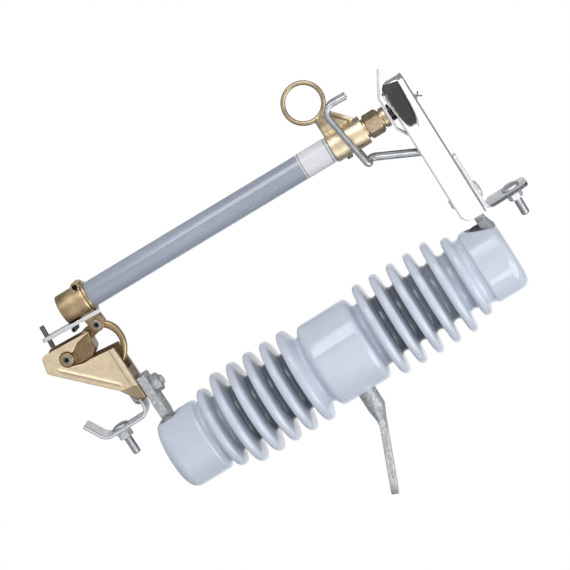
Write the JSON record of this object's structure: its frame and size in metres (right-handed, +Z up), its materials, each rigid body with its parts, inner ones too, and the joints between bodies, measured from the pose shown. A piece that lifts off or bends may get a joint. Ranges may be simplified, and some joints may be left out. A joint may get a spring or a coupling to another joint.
{
  "type": "dropout fuse cutout",
  "caption": "Porcelain pole-line fuse cutout: ribbed insulator on a bent strap, hinged drop-out fuse tube with pull ring, spring contact hood with hooks, and clamp terminals.",
  "frame": {"origin": "centre of the mounting strap's bolt hole, on the strap's flat under face", "axes": "+Z up in service, +X back along the strap away from the fuse holder, +Y across"},
  "size_m": [0.4016, 0.0976, 0.4768],
  "materials": {
    "porcelain_glaze": "gloss glaze",
    "socket_cement": "rough cement",
    "galvanised_steel": "mottled hot-dip zinc",
    "zinc_plated_steel": "bright zinc",
    "polished_stainless": "polished",
    "spring_steel": "dark oiled steel",
    "pale_cast_brass": "sand-cast, blasted",
    "brown_brass": "cast, browned",
    "golden_brass": "satin cast brass",
    "tube_paint": "satin paint on glass-fibre tube"
  },
  "bodies": {
    "base": {"insulator_body": "porcelain_glaze", "lower_socket_cement": "socket_cement", "upper_socket_cement": "socket_cement", "strap_socket_cement": "socket_cement", "mounting_strap": "galvanised_steel", "lower_support_bar": "galvanised_steel", "upper_support_bar": "galvanised_steel", "hinge_casting": "pale_cast_brass", "hinge_bolt": "galvanised_steel", "hinge_nut": "galvanised_steel", "lower_terminal": "zinc_plated_steel", "lower_terminal_bolt": "zinc_plated_steel", "lower_terminal_washer": "zinc_plated_steel", "lower_terminal_nut": "zinc_plated_steel", "contact_hood": "polished_stainless", "contact_leaf": "polished_stainless", "contact_spring": "spring_steel", "spring_guide_pin": "polished_stainless", "hood_bolt": "zinc_plated_steel", "hood_nut": "zinc_plated_steel", "hook_rod": "zinc_plated_steel", "upper_terminal": "zinc_plated_steel", "upper_terminal_bolt": "zinc_plated_steel", "upper_terminal_washer": "zinc_plated_steel", "upper_terminal_nut": "zinc_plated_steel"},
    "fuse_holder": {"trunnion": "brown_brass", "trunnion_screws": "spring_steel", "toggle_pin": "spring_steel", "lower_ferrule": "brown_brass", "lower_ferrule_screw": "spring_steel", "link_ejector": "zinc_plated_steel", "ejector_finger": "zinc_plated_steel", "ejector_pin": "zinc_plated_steel", "ejector_spring": "spring_steel", "fuse_tube": "tube_paint", "upper_ferrule": "golden_brass", "upper_ferrule_screw": "spring_steel", "ferrule_cap": "golden_brass"}
  },
  "joints": [
    {"name": "fuse_holder_drop", "type": "hinge", "parent": "base", "child": "fuse_holder", "pos_m": [-0.16959, 0, -0.28025], "axis": [0, -1, 0], "range_deg": [0, 158]}
  ]
}
